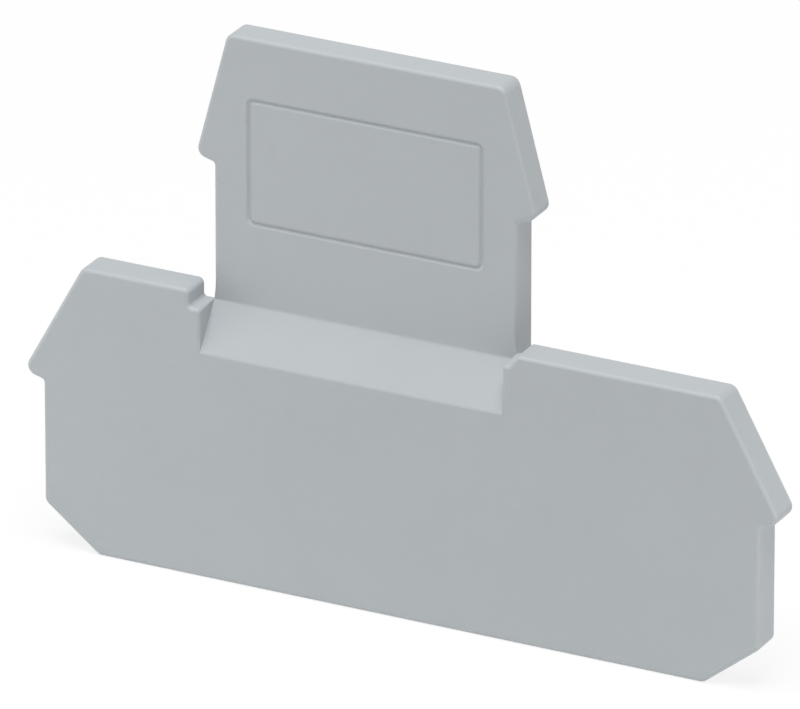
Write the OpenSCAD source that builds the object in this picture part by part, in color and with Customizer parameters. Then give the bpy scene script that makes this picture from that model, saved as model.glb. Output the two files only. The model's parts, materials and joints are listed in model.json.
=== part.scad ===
// End cover for a two-level terminal block: one moulded plate whose upper half, the tower,
// is set back behind the lower half over a sloping ledge. Barbs stand out at both sides of
// both halves, and round pegs on the inner face locate the cover on the block.
// Millimetres. X runs along the cover, +Y points into the block, +Z up. The origin is in the
// middle of the lower plate's inner face. Heights in the source are taken from the bottom edge.

/* [Lower plate] */
// Length of the lower plate between its upright sides
plate_length = 53.5; // [46:0.5:70]
// Height of the lower plate
plate_height = 20.9; // [18:0.1:28]
// Thickness of the lower plate
plate_thickness = 2.5; // [1.8:0.1:3.5]
// How far each bottom corner is cut back along the length
corner_cut_x = 4.1; // [1:0.1:6]
// How far each bottom corner is cut back in height
corner_cut_z = 3.2; // [1:0.1:5]
// Distance of each top corner in from the side
shoulder_inset = 3; // [1:0.05:5]
// Depth of a barb's underside below the plate's top edge
barb_drop = 8.8; // [6:0.1:11]

/* [Tower] */
// Width of the tower between its upright sides
tower_width = 22.6; // [16:0.1:28]
// Sideways place of the tower's middle
tower_offset = -3.55; // [-6:0.05:6]
// Height of the tower above the lower plate
tower_rise = 18; // [15:0.1:26]
// Thickness of the tower
tower_thickness = 2.3; // [1.6:0.1:3.2]
// How far the tower's outer face lies behind the lower plate's outer face
setback = 2.2; // [1.2:0.1:2.4]
// Distance of each top corner in from the tower's side
tower_inset = 1; // [0.3:0.05:3]
// Depth of a tower barb's underside below the tower's top edge
tower_barb_drop = 9.5; // [6:0.1:12]

/* [Barbs] */
// How far a barb stands out from the side
barb_reach = 1.25; // [0.6:0.05:2]
// How much a barb's underside rises on its way out
barb_rise = 0.35; // [0.1:0.05:0.8]
// Height of the blunt end of a barb
barb_land = 0.7; // [0.4:0.05:1.2]

/* [Ledge and notches] */
// Height of the sloping ledge at the foot of the tower
ledge_rise = 3.15; // [2:0.05:4.5]
// Width of the notch on each side of the tower
notch_width = 1; // [0.6:0.05:2.5]
// Depth of the notches below the lower plate's top edge
notch_depth = 1.3; // [0.8:0.05:3]

/* [Label panel] */
// Distance of the panel's outline in from the tower's sides
panel_side_margin = 2.4; // [1.5:0.1:4]
// Distance of the panel's outline below the tower's top edge
panel_top_margin = 4.2; // [2:0.1:6]
// Distance of the panel's outline above the ledge
panel_foot_margin = 6.2; // [2:0.1:8]
// Width of the groove that outlines the panel
groove_width = 0.3; // [0.2:0.05:0.8]
// Depth of that groove
groove_depth = 0.1; // [0.05:0.05:0.5]

/* [Locating pegs] */
// Diameter of a peg
peg_diameter = 2; // [1.2:0.1:3]
// Length of a peg from the face it stands on
peg_length = 2.5; // [1.5:0.1:5]
// Length of the tapered lead at a peg's tip
peg_lead = 0.3; // [0.1:0.05:0.6]
// Distance of each lower peg in from the lower plate's side
peg_side_inset = 6.75; // [4:0.25:9]
// Height of the lower pegs above the bottom edge
peg_height = 8; // [6:0.1:12]
// Depth of the tower's peg below the tower's top edge
tower_peg_drop = 9; // [5:0.1:14]

/* [Edges] */
// Radius of the rounded edges round each plate
edge_radius = 0.3; // [0.1:0.05:0.5]

/* [Hidden] */
$fn = 64;
// Overlap of solids that are joined, and the excess of a cut beyond the solid it cuts
lap = 0.5;
// Reach of a half plate, larger than any plate
far = 120;
housing_grey = [0.68, 0.70, 0.71];

tower_top = plate_height + tower_rise;
ledge_top = plate_height - notch_depth;
ledge_foot = ledge_top - ledge_rise;
// Depths along Y, with the lower plate's inner face at zero
tower_front = setback - plate_thickness;
tower_back = tower_front + tower_thickness;
// The inner slope starts and ends half way round the bends at the ledge's foot and top, so the
// wall keeps its thickness through both
bend_angle = atan(setback / ledge_rise);
ramp_foot = ledge_foot - plate_thickness * tan(bend_angle / 2);
ramp_top = ledge_top - tower_thickness * tan(bend_angle / 2);

// Corners of a barbed head, symmetrical about x = 0 and listed anticlockwise. The two sloping
// undersides are carried on inwards until they meet below the middle.
function barbed_head(half_base, half_top, root, top) =
    let (tip = half_base + barb_reach)
    let (under = root + barb_rise)
    let (keel = root - half_base * barb_rise / barb_reach)
    [[0, keel], [tip, under], [tip, under + barb_land], [half_top, top],
     [-half_top, top], [-tip, under + barb_land], [-tip, under]];

// Height of the top of a barb's blunt end, given the height of its root
function land_top(root) = root + barb_rise + barb_land;

// Section of a half plate: its rim, at v = 0, has both edges rounded
module rim_section(thickness) {
    translate([edge_radius, 0]) square([far, thickness]);
    translate([0, edge_radius]) square([far, thickness - 2 * edge_radius]);
    for (w = [edge_radius, thickness - edge_radius])
        translate([edge_radius, w]) circle(edge_radius);
}

// Half plate that lies to the left of the line from p to q
module half_plate(p, q, thickness) {
    along = q - p;
    translate(p)
        rotate(atan2(along[1], along[0]))
            rotate([90, 0, 90])
                translate([0, 0, -far])
                    linear_extrude(2 * far) rim_section(thickness);
}

// Convex plate with rounded edges, lying on its inner face
module rounded_plate(corners, thickness) {
    intersection_for (i = [0:len(corners) - 1])
        half_plate(corners[i], corners[(i + 1) % len(corners)], thickness);
}

// Stands a plate upright, with its inner face at y = inner and its outer face towards -Y
module upright(inner) {
    translate([0, inner, 0]) rotate([90, 0, 0]) children();
}

// Prism along X over the tower's width, with its section given as [y, z] points
module tower_prism(section) {
    translate([tower_offset - tower_width / 2, 0, 0])
        rotate([90, 0, 90]) linear_extrude(tower_width) polygon(section);
}

// Lower plate: a body with cut bottom corners under a barbed head
module lower_plate_blank() {
    side = plate_length / 2;
    root = plate_height - barb_drop;
    body = [[corner_cut_x - side, 0], [side - corner_cut_x, 0], [side, corner_cut_z],
            [side, land_top(root)], [-side, land_top(root)], [-side, corner_cut_z]];
    upright(0) {
        rounded_plate(body, plate_thickness);
        rounded_plate(barbed_head(side, side - shoulder_inset, root, plate_height), plate_thickness);
    }
}

// Gap in the lower plate's top edge that takes the tower and leaves a notch on each side
module tower_gap() {
    width = tower_width + 2 * notch_width;
    translate([tower_offset - width / 2, -plate_thickness - lap, ledge_top])
        cube([width, plate_thickness + 2 * lap, notch_depth + lap]);
}

// Wedge cut out of the lower plate's outer face, which leaves the sloping ledge
module ledge_pocket() {
    front = -plate_thickness;
    slope = setback / ledge_rise;
    tower_prism([[front - lap * slope, ledge_foot - lap], [tower_front + lap * slope, ledge_top + lap],
                 [front - lap * slope, ledge_top + lap]]);
}

module lower_plate() {
    difference() {
        lower_plate_blank();
        tower_gap();
        ledge_pocket();
    }
}

// Sloping wall behind the ledge, which joins the lower plate to the tower
module bent_wall() {
    front = -plate_thickness;
    tower_prism([[front, ramp_foot - lap], [front, ledge_foot], [tower_front, ledge_top],
                 [tower_back, ledge_top], [tower_back, ramp_top], [0, ramp_foot], [0, ramp_foot - lap]]);
}

// Tower: an upright column under a barbed head
module tower() {
    side = tower_width / 2;
    root = tower_top - tower_barb_drop;
    column = [[-side, ramp_top], [side, ramp_top], [side, land_top(root)], [-side, land_top(root)]];
    translate([tower_offset, 0, 0]) upright(tower_back) {
        rounded_plate(column, tower_thickness);
        rounded_plate(barbed_head(side, side - tower_inset, root, tower_top), tower_thickness);
    }
}

// Groove round the bare label panel on the tower's outer face
module panel_groove() {
    width = tower_width - 2 * panel_side_margin;
    foot = ledge_top + panel_foot_margin;
    height = tower_top - panel_top_margin - foot;
    translate([tower_offset, 0, foot + height / 2]) upright(tower_front + groove_depth)
        linear_extrude(groove_depth + lap) difference() {
            square([width + groove_width, height + groove_width], center = true);
            square([width - groove_width, height - groove_width], center = true);
        }
}

// Round peg with a tapered lead, standing on the inner face at y = inner
module peg(x, z, inner) {
    radius = peg_diameter / 2;
    shank = peg_length - peg_lead;
    translate([x, inner, z]) rotate([-90, 0, 0]) {
        translate([0, 0, -lap]) cylinder(r = radius, h = shank + lap);
        translate([0, 0, shank]) cylinder(r1 = radius, r2 = radius - peg_lead, h = peg_lead);
    }
}

module pegs() {
    span = plate_length / 2 - peg_side_inset;
    for (x = [-span, span]) peg(x, peg_height, 0);
    peg(tower_offset, tower_top - tower_peg_drop, tower_back);
}

module end_cover() {
    color(housing_grey) translate([0, 0, -plate_height / 2]) {
        difference() {
            union() {
                lower_plate();
                bent_wall();
                tower();
            }
            panel_groove();
        }
        pegs();
    }
}

end_cover();
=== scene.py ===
"""Looks of the terminal block end cover: its moulded skin, its finish, the studio and the camera.

The skin is one closed surface in millimetres, put together from patches: profiles carried along the
outlines of the lower plate and the tower, bends carried along the length, and flat faces between them.
X runs along the cover, +Y into the block, and heights are taken from the bottom edge.
"""
import json
import math
from collections import namedtuple

import bmesh
import bpy
import numpy as np
from mathutils import Matrix, Vector
from mathutils.geometry import tessellate_polygon


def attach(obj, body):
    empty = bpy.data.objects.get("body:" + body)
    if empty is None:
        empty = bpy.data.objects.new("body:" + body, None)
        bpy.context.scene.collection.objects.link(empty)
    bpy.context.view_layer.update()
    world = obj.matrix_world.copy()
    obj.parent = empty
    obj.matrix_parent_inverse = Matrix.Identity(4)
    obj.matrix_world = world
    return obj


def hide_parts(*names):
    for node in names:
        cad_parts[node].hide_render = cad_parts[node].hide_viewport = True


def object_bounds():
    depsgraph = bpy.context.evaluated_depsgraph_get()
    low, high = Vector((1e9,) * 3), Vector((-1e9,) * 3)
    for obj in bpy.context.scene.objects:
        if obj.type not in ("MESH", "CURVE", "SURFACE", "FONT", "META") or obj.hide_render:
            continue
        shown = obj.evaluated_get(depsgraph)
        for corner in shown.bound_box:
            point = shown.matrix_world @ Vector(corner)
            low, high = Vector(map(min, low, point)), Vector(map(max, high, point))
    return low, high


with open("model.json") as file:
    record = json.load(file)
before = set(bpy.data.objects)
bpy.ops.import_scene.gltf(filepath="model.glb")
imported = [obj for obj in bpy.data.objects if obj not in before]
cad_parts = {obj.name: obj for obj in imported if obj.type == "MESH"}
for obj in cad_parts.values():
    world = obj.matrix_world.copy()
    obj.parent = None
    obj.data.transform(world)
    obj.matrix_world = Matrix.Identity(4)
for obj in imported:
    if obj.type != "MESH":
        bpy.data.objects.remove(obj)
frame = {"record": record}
cad_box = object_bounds()
# Height of the bottom edge in the frame, in metres
bottom = cad_box[0].z

MM = 0.001

# Lower plate: length between its sides, height, thickness, cut bottom corners, shoulders and barbs
PLATE_LENGTH = 53.5
PLATE_HEIGHT = 20.9
PLATE_THICKNESS = 2.5
CORNER_CUT_X = 4.1
CORNER_CUT_Z = 3.2
SHOULDER_INSET = 3.0
BARB_DROP = 8.8

# Tower: width, place of its middle, height above the lower plate, thickness, how far it lies behind the
# lower plate, shoulders and barbs
TOWER_WIDTH = 22.6
TOWER_OFFSET = -3.55
TOWER_RISE = 18.0
TOWER_THICKNESS = 2.3
SETBACK = 2.2
TOWER_INSET = 1.0
TOWER_BARB_DROP = 9.5

# Barbs: reach out from the side, rise of the underside on the way, height of the blunt end
BARB_REACH = 1.25
BARB_RISE = 0.35
BARB_LAND = 0.7

# Ledge at the foot of the tower, and the notches beside it, with their widths at the floor and at the
# top: the left one goes down to the ledge's top, and the right one has a sloping outer wall
LEDGE_RISE = 3.15
LEFT_NOTCH = {"depth": 1.3, "floor": 0.85, "top": 0.85}
RIGHT_NOTCH = {"depth": 0.85, "floor": 0.45, "top": 1.1}

# Label panel: margins from the tower's sides and top edge and from the ledge, and its groove
PANEL_SIDE_MARGIN = 2.65
PANEL_TOP_MARGIN = 4.45
PANEL_FOOT_MARGIN = 6.0
PANEL_CORNER_RADIUS = 0.4
GROOVE_WIDTH = 0.5
GROOVE_DEPTH = 0.15

# Pegs: tapered lead, fillet at the root, and rounding at both ends of the lead; their places, diameters
# and lengths come from the record's mounts
PEG_LEAD = 0.3
PEG_ROOT_FILLET = 0.15
PEG_SHOULDER_RADIUS = 0.15
PEG_TIP_RADIUS = 0.1

# Rounding of the edges towards the outer and the inner face
OUTER_RADIUS = 0.3
INNER_RADIUS = 0.2
# Rounding of the outline's corners
SHOULDER_RADIUS = 0.7
TIP_RADIUS = 0.7
ROOT_FILLET = 0.25
CUT_RADIUS = 0.7
NOTCH_FILLET = 0.25
NOTCH_LIP_RADIUS = 0.4
# Rounding of the bends at the ledge, and the stretch over which a rounding fades to nothing
BEND_RADIUS = 0.4
FADE_LENGTH = 1.3

# Fineness of the patches, and the distance in metres within which their points are merged
ARC_STEPS = 10
ROUND_STEPS = 6
FADE_STEPS = 8
PEG_SIDES = 48
MERGE_DISTANCE = 1e-7
# Mesh attribute that is 1 along the middle of a rounded edge and 0 on flat faces; the material paints a
# highlight there and makes it glossier
EDGE_ATTRIBUTE = "edge"
# Mesh attribute that carries the patches' normals through the merge
NORMAL_ATTRIBUTE = "patch_normal"

# Tower's sides along x, and depths along y
TOWER_LEFT = TOWER_OFFSET - TOWER_WIDTH / 2
TOWER_RIGHT = TOWER_OFFSET + TOWER_WIDTH / 2
LOWER_FRONT = -PLATE_THICKNESS
TOWER_FRONT = SETBACK - PLATE_THICKNESS
TOWER_BACK = TOWER_FRONT + TOWER_THICKNESS
# Heights of the tower's top edge, the ledge and the right notch's floor
TOWER_TOP = PLATE_HEIGHT + TOWER_RISE
LEDGE_TOP = PLATE_HEIGHT - LEFT_NOTCH["depth"]
LEDGE_FOOT = LEDGE_TOP - LEDGE_RISE
RIGHT_FLOOR = PLATE_HEIGHT - RIGHT_NOTCH["depth"]
# The slope behind the ledge starts and ends half way round the bends, so the wall keeps its thickness
BEND_ANGLE = math.atan2(SETBACK, LEDGE_RISE)
SLOPE_FOOT = LEDGE_FOOT - PLATE_THICKNESS * math.tan(BEND_ANGLE / 2)
SLOPE_TOP = LEDGE_TOP - TOWER_THICKNESS * math.tan(BEND_ANGLE / 2)

# Directions in space that the outer and the inner faces look in, and up in a plane
OUTWARDS = np.array([0, -1, 0])
INWARDS = np.array([0, 1, 0])
UP = np.array([0, 1])

# Points in the outlines: the lip at each end of the lower plate's, its rim between the two lips, and the
# tower's between the ends where its edge fades
LIP = slice(FADE_STEPS + 1, FADE_STEPS + ARC_STEPS + 2)
RIM = slice(LIP.stop, -LIP.stop)
HEAD = slice(FADE_STEPS, -FADE_STEPS)

# Points of an outline or a surface, their normals, and how far each lies on a rounded edge
Patch = namedtuple("Patch", "points normals edge", defaults=[0])


def fade():
    """Share of a rounding that has grown up to each step: 1 - (1 - s) squared for s from 0 to 1."""
    s = np.linspace(0, 1, FADE_STEPS + 1)
    return 1 - (1 - s) ** 2


def faded_ends(size, count):
    """A size along a path of so many points, which grows from nothing and shrinks to it at the ends."""
    sizes = np.full(count, float(size))
    sizes[:FADE_STEPS + 1] *= fade()
    sizes[-FADE_STEPS - 1:] *= fade()[::-1]
    return sizes


def rounded_path(corners, radii):
    """Arcs at the inner corners of an open path of straight sides, with one row of points per arc.

    An arc leaves its side at radius times tan(half the turn) before the corner, and its centre stands
    one radius off, on the side that the path turns to. The outward normal, to the right of travel,
    turns evenly along the arc. A point is the centre plus the radius times that normal where the
    path turns left, and minus it where it turns right.
    """
    corners = np.asarray(corners, float)
    radii = np.asarray(radii, float)[:, None]
    along = unit(np.diff(corners, axis=0))
    heading = np.arctan2(along[:, 1], along[:, 0])
    turn = ((np.diff(heading) + np.pi) % (2 * np.pi) - np.pi)[:, None]
    angle = heading[:-1, None] - np.pi / 2 + turn * np.linspace(0, 1, ARC_STEPS + 1)
    normals = np.stack([np.cos(angle), np.sin(angle)], axis=-1)
    left = np.stack([-along[:-1, 1], along[:-1, 0]], axis=-1)
    bulge = np.sign(turn) * radii
    centre = corners[1:-1] - along[:-1] * radii * np.tan(np.abs(turn) / 2) + bulge * left
    return Patch(centre[:, None] + bulge[:, None] * normals, normals)


def upright(x, heights, outward):
    """Upright stretch of outline at some heights, whose normal points along x."""
    points = np.stack([np.full(len(heights), x), heights], axis=-1)
    return Patch(points, np.broadcast_to((outward, 0.0), points.shape))


def join(*stretches):
    """One outline from several stretches or single points, one after the other."""
    return Patch(np.concatenate([np.reshape(stretch.points, (-1, 2)) for stretch in stretches]),
                 np.concatenate([np.reshape(stretch.normals, (-1, 2)) for stretch in stretches]))


def part_of(patch, rows):
    """Some rows of a patch, with their normals."""
    return Patch(patch.points[rows], patch.normals[rows])


def in_space(plan, depth):
    """Points or directions in space from their x and z in the outline's plane and their y."""
    return np.stack([plan[..., 0], np.broadcast_to(depth, plan.shape[:-1]), plan[..., 1]], axis=-1)


def unit(vectors):
    """Vectors divided by their lengths."""
    return vectors / np.linalg.norm(vectors, axis=-1, keepdims=True)


def rounding(outline, face, radius, inwards):
    """Quarter round carried along an outline, from a flat face to the rim.

    With t from 0 to 90 degrees the profile lies radius x (1 - sin t) inside the outline and
    radius x (1 - cos t) below the face, and its normal turns from the face's to the outline's.
    Where the radius or the face's depth changes along the path, the normal leans along the path by
    the radius's rate of change x (sin t + cos t - 1) and the depth's x cos t.
    The edge's share goes with sin 2t and the radius. Inwards is 1 where +y leads into the part and -1
    where it leads out.
    """
    points = outline.points
    normals = outline.normals
    t = np.linspace(0, np.pi / 2, ROUND_STEPS + 1)
    face = np.broadcast_to(face, len(points))
    radius = np.broadcast_to(radius, len(points))
    plan = points[:, None] - normals[:, None] * (radius[:, None] * (1 - np.sin(t)))[..., None]
    depth = face[:, None] + inwards * radius[:, None] * (1 - np.cos(t))
    length = np.append(0, np.cumsum(np.linalg.norm(np.diff(points, axis=0), axis=1)))
    lean = (np.gradient(radius, length)[:, None] * (np.sin(t) + np.cos(t) - 1)
            + inwards * np.gradient(face, length)[:, None] * np.cos(t))
    along = np.stack([-normals[:, 1], normals[:, 0]], axis=-1)
    leaning = normals[:, None] * np.sin(t)[:, None] + along[:, None] * lean[..., None]
    edge = radius[:, None] / radius.max() * np.sin(2 * t)
    return Patch(in_space(plan, depth), unit(in_space(leaning, -inwards * np.cos(t))), edge)


def bend(left, right, corner, before, after, outer):
    """Rounded bend along x between two flat faces that meet at a corner of the section.

    In the section, which has y and z, an arc of unit radius touches both faces and turns evenly from
    the lower one to the upper one. It is scaled about the corner by the local radius, which fades to
    nothing at both ends, and there its normal leans along x by the radius's rate of change.
    Before and after point from the corner along the faces, and outer is 1 on the outer side and -1
    on the inner side. The edge's share is nothing where the bend is hollow.
    """
    before = unit(before)
    after = unit(after)
    middle = unit(before + after)
    half = math.asin(middle @ before)
    centre = middle / math.cos(half)
    start = before * math.tan(half) - centre
    end = after * math.tan(half) - centre
    t = np.linspace(0, 1, ROUND_STEPS + 1)[:, None]
    arc = (np.sin((1 - t) * 2 * half) * start + np.sin(t * 2 * half) * end) / math.sin(2 * half)
    run = np.linspace(0, FADE_LENGTH, FADE_STEPS + 1)
    x = np.concatenate([left + run, right - run[::-1]])
    radius = faded_ends(BEND_RADIUS, len(x))
    section = np.asarray(corner) + radius[:, None, None] * (centre + arc)
    points = np.insert(section, 0, x[:, None], axis=-1)
    outward = outer * np.array([before[1], -before[0]])
    bulge = np.sign(arc[0] @ outward)
    section_normals = arc * bulge
    lean = -np.gradient(radius, x)[:, None] * (section_normals * (centre + arc)).sum(axis=-1)
    normals = np.insert(np.broadcast_to(section_normals, section.shape), 0, lean, axis=-1)
    edge = max(bulge, 0) * radius[:, None] / BEND_RADIUS * np.sin(np.pi * t.ravel())
    return Patch(points, unit(normals), edge)


class Skin:
    """Patches of the closed surface, kept as points, normals, edges and faces until they are merged."""

    def __init__(self):
        self.points = []
        self.normals = []
        self.edges = []
        self.faces = []
        self.count = 0

    def add(self, points, normals, edge=0):
        """Keeps points with their normals, or with one normal for all, and returns their numbers."""
        points = np.reshape(points, (-1, 3))
        self.points.append(points)
        self.normals.append(np.broadcast_to(normals, points.shape))
        self.edges.append(np.broadcast_to(np.ravel(edge), len(points)))
        first = self.count
        self.count += len(points)
        return np.arange(first, self.count)

    def grid(self, patch):
        """Quads between neighbouring rows and columns of a patch."""
        index = self.add(patch.points, np.reshape(patch.normals, (-1, 3)), patch.edge)
        index = index.reshape(patch.points.shape[:2])
        quads = np.stack([index[:-1, :-1], index[1:, :-1], index[1:, 1:], index[:-1, 1:]], axis=-1)
        self.faces.extend(quads.reshape(-1, 4).tolist())

    def wall(self, front, back):
        """Straight wall between the rims of two roundings that follow the same outline."""
        self.grid(Patch(np.stack([front.points[:, -1], back.points[:, -1]], axis=1),
                        np.stack([front.normals[:, -1], back.normals[:, -1]], axis=1)))

    def cap(self, normal, *stretches):
        """Flat face inside the loop that the stretches of points make one after the other."""
        self.faces.append(self.add(np.concatenate(stretches), normal).tolist())

    def cap_with_holes(self, normal, loop, holes):
        """Flat face inside a loop of points and outside the holes, cut into triangles."""
        loops = [loop, *holes]
        index = self.add(np.concatenate(loops), normal)
        self.faces.extend(index[np.asarray(tessellate_polygon(loops))].tolist())

    def mesh(self, name):
        """Mesh in metres, with the patches' shared points merged and the patches' own normals."""
        points = np.concatenate(self.points) * MM
        points[:, 2] += bottom
        mesh = bpy.data.meshes.new(name)
        mesh.from_pydata(points, [], self.faces)
        mesh.attributes.new(EDGE_ATTRIBUTE, "FLOAT", "POINT")
        mesh.attributes[EDGE_ATTRIBUTE].data.foreach_set("value", np.concatenate(self.edges))
        corners = np.concatenate(self.normals)[np.concatenate(self.faces)]
        mesh.attributes.new(NORMAL_ATTRIBUTE, "FLOAT_VECTOR", "CORNER")
        mesh.attributes[NORMAL_ATTRIBUTE].data.foreach_set("vector", corners.ravel())
        shape = bmesh.new()
        shape.from_mesh(mesh)
        bmesh.ops.remove_doubles(shape, verts=shape.verts, dist=MERGE_DISTANCE)
        bmesh.ops.recalc_face_normals(shape, faces=shape.faces)
        shape.to_mesh(mesh)
        shape.free()
        mesh.shade_smooth()
        corners = np.empty((len(mesh.loops), 3))
        mesh.attributes[NORMAL_ATTRIBUTE].data.foreach_get("vector", corners.ravel())
        mesh.normals_split_custom_set(corners)
        mesh.attributes.remove(mesh.attributes[NORMAL_ATTRIBUTE])
        return mesh


def barb_tip(side, half_top, root, top):
    """Point where a barb's sloping back and its rising underside would meet if the tip were sharp.

    The back goes out by its slope times the way down from the top corner, and the underside goes up by
    its slope times the way out from the root.
    """
    slope = (side + BARB_REACH - half_top) / (top - root - BARB_RISE - BARB_LAND)
    under = BARB_RISE / BARB_REACH
    x = (half_top + slope * (top - root + under * side)) / (1 + slope * under)
    return x, root + under * (x - side)


def mirrored(corners):
    """Corners on the other side of x = 0, in the same order."""
    return [(-x, z) for x, z in corners]


def notch(tower_side, outwards, form):
    """Corners of a notch: up the pocket's wall, along the floor and up the outer wall."""
    floor = PLATE_HEIGHT - form["depth"]
    return [(tower_side, LEDGE_FOOT), (tower_side, floor), (tower_side + outwards * form["floor"], floor),
            (tower_side + outwards * form["top"], PLATE_HEIGHT)]


def lower_outline():
    """Lower plate's outline, from the left end of the ledge's foot round below to its right end."""
    side = PLATE_LENGTH / 2
    shoulder = side - SHOULDER_INSET
    root = PLATE_HEIGHT - BARB_DROP
    flank = [(shoulder, PLATE_HEIGHT), barb_tip(side, shoulder, root, PLATE_HEIGHT), (side, root),
             (side, CORNER_CUT_Z), (side - CORNER_CUT_X, 0)]
    flank_radii = [SHOULDER_RADIUS, TIP_RADIUS, ROOT_FILLET, CUT_RADIUS, CUT_RADIUS]
    notch_radii = [OUTER_RADIUS, NOTCH_FILLET, NOTCH_LIP_RADIUS]

    corners = (notch(TOWER_LEFT, -1, LEFT_NOTCH) + mirrored(flank) + flank[::-1]
               + notch(TOWER_RIGHT, 1, RIGHT_NOTCH)[::-1])
    arcs = rounded_path(corners, notch_radii + flank_radii + flank_radii[::-1] + notch_radii[::-1])
    pocket = LEDGE_FOOT + np.linspace(0, FADE_LENGTH, FADE_STEPS + 1)
    return join(upright(TOWER_LEFT, pocket, 1), arcs, upright(TOWER_RIGHT, pocket[::-1], -1))


def tower_outline():
    """Tower's outline, from the right notch's floor over the top to the left notch's floor."""
    side = TOWER_WIDTH / 2
    half_top = side - TOWER_INSET
    root = TOWER_TOP - TOWER_BARB_DROP
    flank = [(side, LEDGE_TOP), (side, root), barb_tip(side, half_top, root, TOWER_TOP),
             (half_top, TOWER_TOP)]
    radii = [ROOT_FILLET, TIP_RADIUS, SHOULDER_RADIUS]
    arcs = rounded_path(flank + mirrored(flank)[::-1], radii + radii[::-1])
    foot = np.linspace(0, FADE_LENGTH, FADE_STEPS + 1)
    return join(upright(TOWER_RIGHT, RIGHT_FLOOR + foot, 1),
                Patch(arcs.points + (TOWER_OFFSET, 0), arcs.normals),
                upright(TOWER_LEFT, LEDGE_TOP + foot[::-1], -1))


def panel_groove():
    """Shallow groove round the panel: depth goes with half of 1 + cos across its width."""
    half_width = TOWER_WIDTH / 2 - PANEL_SIDE_MARGIN
    foot = LEDGE_TOP + PANEL_FOOT_MARGIN
    top = TOWER_TOP - PANEL_TOP_MARGIN
    left = TOWER_OFFSET - half_width
    right = TOWER_OFFSET + half_width
    ring = [(left, foot), (right, foot), (right, top), (left, top)]
    arcs = rounded_path(ring[-1:] + ring + ring[:1], [PANEL_CORNER_RADIUS] * len(ring))
    line = join(arcs, Patch(arcs.points[0, 0], arcs.normals[0, 0]))
    across = np.linspace(0.5, -0.5, 2 * ROUND_STEPS + 1)
    plan = line.points[:, None] + line.normals[:, None] * (across * GROOVE_WIDTH)[:, None]
    depth = TOWER_FRONT + GROOVE_DEPTH * (1 + np.cos(2 * np.pi * across)) / 2
    steepness = -np.pi * GROOVE_DEPTH / GROOVE_WIDTH * np.sin(2 * np.pi * across)
    return Patch(in_space(plan, depth), unit(in_space(line.normals[:, None] * steepness[:, None], -1)))


def peg(mount):
    """Peg turned about its axis: a fillet at the root, a straight shank and a tapered lead.

    The profile has the distance from the axis and the height over the face. It comes in along the face
    from two radii out, goes up the shank and in over the end, and is carried round a full circle.
    The mount's place is half way up the shank.
    """
    radius = mount["dims"]["r_mm"]
    shank = mount["dims"]["length_mm"]
    x, y, z = np.asarray(mount["pos_m"]) / MM
    end = shank + PEG_LEAD
    corners = [(2 * radius, 0), (radius, 0), (radius, shank), (radius - PEG_LEAD, end), (0, end)]
    profile = join(rounded_path(corners, [PEG_ROOT_FILLET, PEG_SHOULDER_RADIUS, PEG_TIP_RADIUS]))
    distance = profile.points[:, :1]
    height = profile.points[:, 1]
    angle = np.linspace(0, 2 * np.pi, PEG_SIDES + 1)
    around = np.stack([np.cos(angle), np.sin(angle)], axis=-1)[:, None]
    axis = np.array([x, z - bottom / MM])
    return Patch(in_space(axis + distance * around, y - shank / 2 + height),
                 in_space(profile.normals[:, :1] * around, profile.normals[:, 1]))


def lower_plate(skin):
    """Lower plate's rounded edges and its rim. Returns the front and the back edge.

    The front edge goes from the pocket's left wall round below to its right wall, and the back edge,
    as the rim between the two, from notch floor to notch floor.
    """
    outline = lower_outline()
    front = rounding(outline, LOWER_FRONT, faded_ends(OUTER_RADIUS, len(outline.points)), 1)
    back_outline = join(Patch((TOWER_LEFT, LEDGE_TOP), UP), part_of(outline, RIM),
                        Patch((TOWER_RIGHT, RIGHT_FLOOR), UP))
    back = rounding(back_outline, 0, INNER_RADIUS, -1)
    skin.grid(front)
    skin.grid(back)
    skin.wall(part_of(front, RIM), part_of(back, slice(1, -1)))
    return front, back


def tower(skin):
    """Tower's rounded edges and its rim. Returns the front and the back edge.

    The front edge fades out at the notch floors. The back edge fades out down the inner slope, where
    its depth goes evenly to the lower plate's.
    """
    outline = tower_outline()
    front = rounding(outline, TOWER_FRONT, faded_ends(OUTER_RADIUS, len(outline.points)), 1)
    climb = np.linspace(0, 1, FADE_STEPS + 1)
    slope = SLOPE_FOOT + (SLOPE_TOP - SLOPE_FOOT) * climb
    back_outline = join(upright(TOWER_RIGHT, slope, 1), part_of(outline, HEAD),
                        upright(TOWER_LEFT, slope[::-1], -1))
    depth = np.full(len(back_outline.points), TOWER_BACK)
    depth[:FADE_STEPS + 1] *= climb
    depth[-FADE_STEPS - 1:] *= climb[::-1]
    back = rounding(back_outline, depth, faded_ends(INNER_RADIUS, len(depth)), -1)
    skin.grid(front)
    skin.grid(back)
    skin.wall(part_of(front, HEAD), part_of(back, slice(FADE_STEPS + 1, -FADE_STEPS - 1)))
    return front, back


def joggle(skin):
    """Rounded bends, which it returns: the ledge's foot and top, then those of the slope behind it."""
    ledge_way = np.array([SETBACK, LEDGE_RISE])
    slope_way = np.array([TOWER_BACK, SLOPE_TOP - SLOPE_FOOT])
    ledge_foot = bend(TOWER_LEFT, TOWER_RIGHT, (LOWER_FRONT, LEDGE_FOOT), -UP, ledge_way, 1)
    ledge_top = bend(TOWER_LEFT, TOWER_RIGHT, (TOWER_FRONT, LEDGE_TOP), -ledge_way, UP, 1)
    slope_foot = bend(TOWER_LEFT, TOWER_RIGHT, (0, SLOPE_FOOT), -UP, slope_way, -1)
    slope_top = bend(TOWER_LEFT + INNER_RADIUS, TOWER_RIGHT - INNER_RADIUS, (TOWER_BACK, SLOPE_TOP),
                     -slope_way, UP, -1)
    bends = (ledge_foot, ledge_top, slope_foot, slope_top)
    for strip in bends:
        skin.grid(strip)
    return bends


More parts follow.
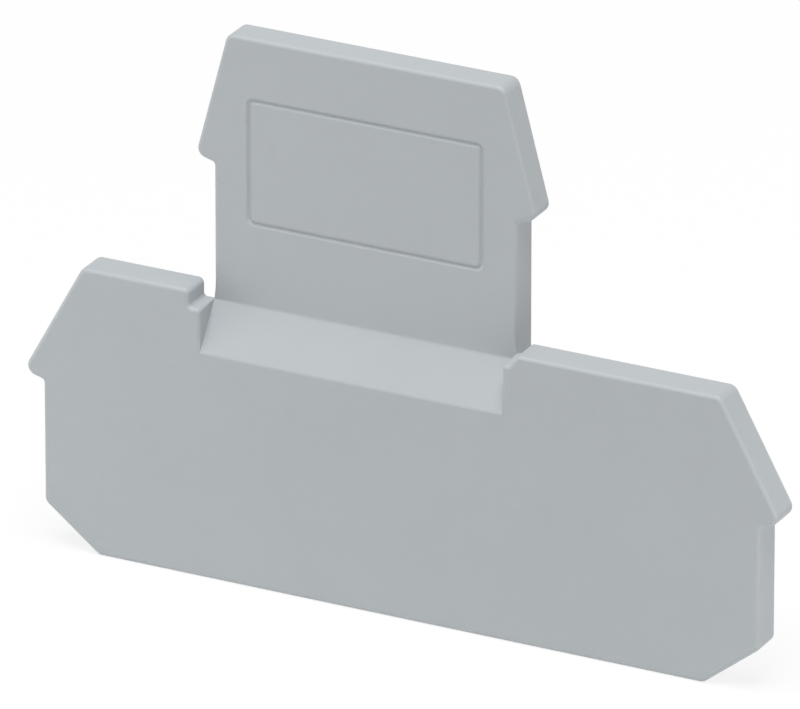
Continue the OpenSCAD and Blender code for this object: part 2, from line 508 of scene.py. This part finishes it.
def notch_faces(skin, x, floor, order, lower_edges, tower_edges, ledge_top):
    """Faces beside the tower: the lip, the pocket wall, the notch floor and the foot of the tower's side.

    The lip, between pocket wall and notch floor, is a quarter round that shrinks evenly to nothing on
    its way back to the tower's front, and its normal leans along y by the rate at which it shrinks.
    Order is 1 at the tower's left and -1 at its right, where the edges are taken from their other end.
    """
    lower_front, lower_back = (edge.points[::order] for edge in lower_edges)
    tower_front, tower_back = (edge.points[::-order, -1] for edge in tower_edges)
    turn = lower_edges[0].normals[::order, -1][LIP]
    run = TOWER_FRONT - LOWER_FRONT - OUTER_RADIUS
    spread = (turn - turn[0] - turn[-1]) * OUTER_RADIUS
    share = np.linspace(1, 0, FADE_STEPS + 1)[:, None, None]
    lip = np.array([x, TOWER_FRONT, floor]) + share * (spread - run * INWARDS)
    lean = (spread * turn).sum(axis=-1, keepdims=True) / run
    skin.grid(Patch(lip, np.broadcast_to(unit(turn + lean * INWARDS), lip.shape)))
    skin.cap(turn[0], lower_front[:LIP.start + 1, -1], lip[1:, 0], ledge_top.points[::order, -1][:1])
    skin.cap(turn[-1], lower_front[LIP.stop - 1:LIP.stop + 1, -1], lower_back[1::-1, -1], lip[:0:-1, -1])
    skin.cap(-turn[0], lower_back[0, ::-1], tower_back[:FADE_STEPS + 2], tower_front[FADE_STEPS::-1])


def outer_faces(skin, lower_front, tower_front, ledge_foot, ledge_top):
    """Outer side: the panel and its groove, then lower plate, ledge, and tower round the groove."""
    groove = panel_groove()
    skin.grid(groove)
    skin.cap(OUTWARDS, groove.points[:-1, -1])
    skin.cap(OUTWARDS, lower_front.points[:, 0], ledge_foot.points[-2:0:-1, 0])
    skin.cap(ledge_foot.normals[0, -1], ledge_foot.points[:, -1], ledge_top.points[::-1, 0])
    skin.cap_with_holes(OUTWARDS, np.concatenate([tower_front.points[:, 0], ledge_top.points[1:, -1]]),
                        [groove.points[:-1, 0]])


def inner_faces(skin, lower_back, tower_back, slope_foot, slope_top):
    """Inner side: the pegs and their ends, then lower plate and tower round the pegs, and the slope."""
    pegs = [peg(mount) for mount in frame["record"]["mounts"] if mount["kind"] == "pin"]
    for turned in pegs:
        skin.grid(turned)
        skin.cap(INWARDS, turned.points[:-1, -1])
    feet = [turned.points[:-1, 0] for turned in pegs]
    on_plate = [ring for ring in feet if ring[0, 1] < TOWER_BACK / 2]
    on_tower = [ring for ring in feet if ring[0, 1] > TOWER_BACK / 2]
    skin.cap_with_holes(INWARDS, np.concatenate([lower_back.points[:, 0], slope_foot.points[::-1, 0]]),
                        on_plate)
    skin.cap_with_holes(INWARDS, np.concatenate([tower_back.points[HEAD, 0], slope_top.points[1:-1, -1]]),
                        on_tower)
    skin.cap(slope_foot.normals[0, -1], slope_foot.points[:, -1], tower_back.points[1:FADE_STEPS + 1, 0],
             slope_top.points[-2:0:-1, 0], tower_back.points[-FADE_STEPS - 1:-1, 0])


def make_cover():
    """The whole moulding as one closed surface."""
    skin = Skin()
    lower_edges = lower_plate(skin)
    tower_edges = tower(skin)
    ledge_foot, ledge_top, slope_foot, slope_top = joggle(skin)
    notch_faces(skin, TOWER_LEFT, LEDGE_TOP, 1, lower_edges, tower_edges, ledge_top)
    notch_faces(skin, TOWER_RIGHT, RIGHT_FLOOR, -1, lower_edges, tower_edges, ledge_top)
    outer_faces(skin, lower_edges[0], tower_edges[0], ledge_foot, ledge_top)
    inner_faces(skin, lower_edges[1], tower_edges[1], slope_foot, slope_top)
    cover = bpy.data.objects.new("moulded_cover", skin.mesh("moulded_cover"))
    bpy.context.scene.collection.objects.link(cover)
    return cover


# Image that the camera frames, in pixels
IMAGE_WIDTH = 800
IMAGE_HEIGHT = 709
# Viewpoint: direction in degrees, distance to the look point, and image scale at that point
VIEW_AZIMUTH = 26.93
VIEW_ELEVATION = 23.57
VIEW_DISTANCE = 1000 * MM
PIXELS_PER_MM = 15.05
# Point of the part that the view is measured from, and the pixel it falls on
LOOK_POINT = Vector((0, -1.3, 8.55)) * MM
LOOK_PIXEL = (405.55, 352.1)
SENSOR_WIDTH_MM = 36


def direction_to(azimuth, elevation):
    """Unit vector towards a place, with its azimuth taken from the front to the right, in degrees."""
    azimuth = math.radians(azimuth)
    elevation = math.radians(elevation)
    return Vector((math.sin(azimuth) * math.cos(elevation), -math.cos(azimuth) * math.cos(elevation),
                   math.sin(elevation)))


def make_camera():
    """Camera on a line back from the aim point, which lies under the middle of the image."""
    right = direction_to(VIEW_AZIMUTH + 90, 0)
    back = direction_to(VIEW_AZIMUTH, VIEW_ELEVATION)
    up = back.cross(right)
    pixel = MM / PIXELS_PER_MM
    aim = (LOOK_POINT + right * (IMAGE_WIDTH / 2 - LOOK_PIXEL[0]) * pixel
           - up * (IMAGE_HEIGHT / 2 - LOOK_PIXEL[1]) * pixel)
    data = bpy.data.cameras.new("view")
    data.sensor_width = SENSOR_WIDTH_MM
    data.lens = SENSOR_WIDTH_MM * VIEW_DISTANCE / (IMAGE_WIDTH * pixel)
    camera = bpy.data.objects.new("view", data)
    camera.matrix_world = (Matrix.Translation(aim + back * VIEW_DISTANCE)
                           @ Matrix((right, up, back)).transposed().to_4x4())
    bpy.context.scene.collection.objects.link(camera)
    bpy.context.scene.camera = camera


# Studio: an even light all round, and softboxes with their directions in degrees, distances and
# sides in metres and powers in watts. All but the overhead one are small and stand close.
AMBIENT = 0.25
SOFTBOXES = {
    "overhead": {"azimuth": 12, "elevation": 75, "distance": 0.7, "side": 0.5, "power": 5.15},
    "left": {"azimuth": -65, "elevation": -2, "distance": 0.105, "side": 0.04, "power": 0.0153},
    "right": {"azimuth": 84, "elevation": -8.5, "distance": 0.065, "side": 0.016, "power": 0.0031},
    "back": {"azimuth": 174, "elevation": 0, "distance": 0.25, "side": 0.03, "power": 0.12},
}
# Floor: side in metres, reflectance, and how much of what the eye sees there is plain white
FLOOR_SIDE = 4
FLOOR_REFLECTANCE = 0.9
FLOOR_WHITE = 0.85


def larger(tree, first, second):
    """Socket with the larger of two values."""
    node = tree.nodes.new("ShaderNodeMath")
    node.operation = "MAXIMUM"
    tree.links.new(first, node.inputs[0])
    tree.links.new(second, node.inputs[1])
    return node.outputs[0]


def seen(tree):
    """Socket that is 1 for what is seen, straight on, mirrored or through glass, and 0 for light."""
    path = tree.nodes.new("ShaderNodeLightPath").outputs
    return larger(tree, larger(tree, path["Is Camera Ray"], path["Is Glossy Ray"]),
                  path["Is Transmission Ray"])


def ranged(tree, value, low, high):
    """Socket that goes from low to high as a value goes from 0 to 1."""
    node = tree.nodes.new("ShaderNodeMapRange")
    node.inputs["To Min"].default_value = low
    node.inputs["To Max"].default_value = high
    tree.links.new(value, node.inputs["Value"])
    return node.outputs["Result"]


def make_world():
    """White surroundings to look at, and a soft even light on the part."""
    world = bpy.data.worlds.new("studio")
    world.use_nodes = True
    tree = world.node_tree
    background = tree.nodes["Background"]
    background.inputs["Color"].default_value = (1, 1, 1, 1)
    tree.links.new(ranged(tree, seen(tree), AMBIENT, 1), background.inputs["Strength"])
    bpy.context.scene.world = world


def make_softbox(name, box):
    """Square lamp that faces the look point."""
    data = bpy.data.lights.new(name, "AREA")
    data.size = box["side"]
    data.energy = box["power"]
    light = bpy.data.objects.new(name, data)
    direction = direction_to(box["azimuth"], box["elevation"])
    light.location = LOOK_POINT + direction * box["distance"]
    light.rotation_euler = direction.to_track_quat("Z", "Y").to_euler()
    light.visible_camera = False
    bpy.context.scene.collection.objects.link(light)


def make_floor():
    """Pale floor under the part's bottom edge, which looks white and keeps a faint shadow."""
    bpy.ops.mesh.primitive_plane_add(size=FLOOR_SIDE, location=(0, 0, bottom))
    floor = bpy.context.object
    floor.name = "floor"
    material = bpy.data.materials.new("floor")
    material.use_nodes = True
    tree = material.node_tree
    shader = tree.nodes["Principled BSDF"]
    shader.inputs["Base Color"].default_value = (FLOOR_REFLECTANCE, FLOOR_REFLECTANCE, FLOOR_REFLECTANCE, 1)
    shader.inputs["Roughness"].default_value = 1
    shader.inputs["Specular IOR Level"].default_value = 0
    white = tree.nodes.new("ShaderNodeEmission")
    mix = tree.nodes.new("ShaderNodeMixShader")
    tree.links.new(ranged(tree, seen(tree), 0, FLOOR_WHITE), mix.inputs["Fac"])
    tree.links.new(shader.outputs["BSDF"], mix.inputs[1])
    tree.links.new(white.outputs["Emission"], mix.inputs[2])
    tree.links.new(mix.outputs["Shader"], tree.nodes["Material Output"].inputs["Surface"])
    floor.data.materials.append(material)


# Moulded grey plastic: colour, and its lighter shade in soft clouds and along the rounded edges, where it
# is a painted highlight
PLASTIC = (0.415, 0.443, 0.460, 1)
PLASTIC_CLOUD_AND_HIGHLIGHT = (0.435, 0.464, 0.482, 1)
# Widths of the clouds and of the mould's eroded grain, and the grain's height, in millimetres, and how
# many finer layers each has
CLOUD_WIDTH = 6
CLOUD_DETAIL = 3
GRAIN_WIDTH = 0.16
GRAIN_HEIGHT = 0.014
GRAIN_DETAIL = 2
# Roughness in the grain's hollows and on its peaks, and its drop on a rubbed edge
ROUGH_HOLLOW = 0.6
ROUGH_PEAK = 0.5
EDGE_POLISH = 0.08


def noise(tree, width, detail):
    """Noise whose patches are about so many millimetres wide, fixed to the part."""
    node = tree.nodes.new("ShaderNodeTexNoise")
    node.inputs["Scale"].default_value = 1 / (width * MM)
    node.inputs["Detail"].default_value = detail
    place = tree.nodes.new("ShaderNodeTexCoord")
    tree.links.new(place.outputs["Object"], node.inputs["Vector"])
    return node.outputs["Fac"]


def housing_material():
    """Moulded plastic with the fine grain of an eroded mould, soft clouds, and rounded edges that are
    slightly glossier and painted paler as a highlight.
    """
    material = bpy.data.materials.new("housing")
    material.use_nodes = True
    tree = material.node_tree
    shader = tree.nodes["Principled BSDF"]
    edge = tree.nodes.new("ShaderNodeAttribute")
    edge.attribute_name = EDGE_ATTRIBUTE
    grain = noise(tree, GRAIN_WIDTH, GRAIN_DETAIL)
    clouds = noise(tree, CLOUD_WIDTH, CLOUD_DETAIL)

    # Base colour: pale in the clouds, which are the plastic's own uneven tone, and along the rounded edges,
    # where the pale shade is a painted highlight
    colour = tree.nodes.new("ShaderNodeValToRGB")
    colour.color_ramp.elements[0].color = PLASTIC
    colour.color_ramp.elements[1].color = PLASTIC_CLOUD_AND_HIGHLIGHT
    tree.links.new(larger(tree, clouds, edge.outputs["Fac"]), colour.inputs["Fac"])
    tree.links.new(colour.outputs["Color"], shader.inputs["Base Color"])

    polish = tree.nodes.new("ShaderNodeMath")
    polish.operation = "MULTIPLY_ADD"
    polish.inputs[1].default_value = -EDGE_POLISH
    tree.links.new(edge.outputs["Fac"], polish.inputs[0])
    tree.links.new(ranged(tree, grain, ROUGH_HOLLOW, ROUGH_PEAK), polish.inputs[2])
    tree.links.new(polish.outputs[0], shader.inputs["Roughness"])

    bump = tree.nodes.new("ShaderNodeBump")
    bump.inputs["Distance"].default_value = GRAIN_HEIGHT * MM
    tree.links.new(grain, bump.inputs["Height"])
    tree.links.new(bump.outputs["Normal"], shader.inputs["Normal"])
    return material


bpy.context.scene.view_settings.view_transform = "Standard"
make_camera()
make_world()
for name, box in SOFTBOXES.items():
    make_softbox(name, box)
make_floor()
cover = make_cover()
cover.data.materials.append(housing_material())
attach(cover, "root")
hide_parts("end_cover")
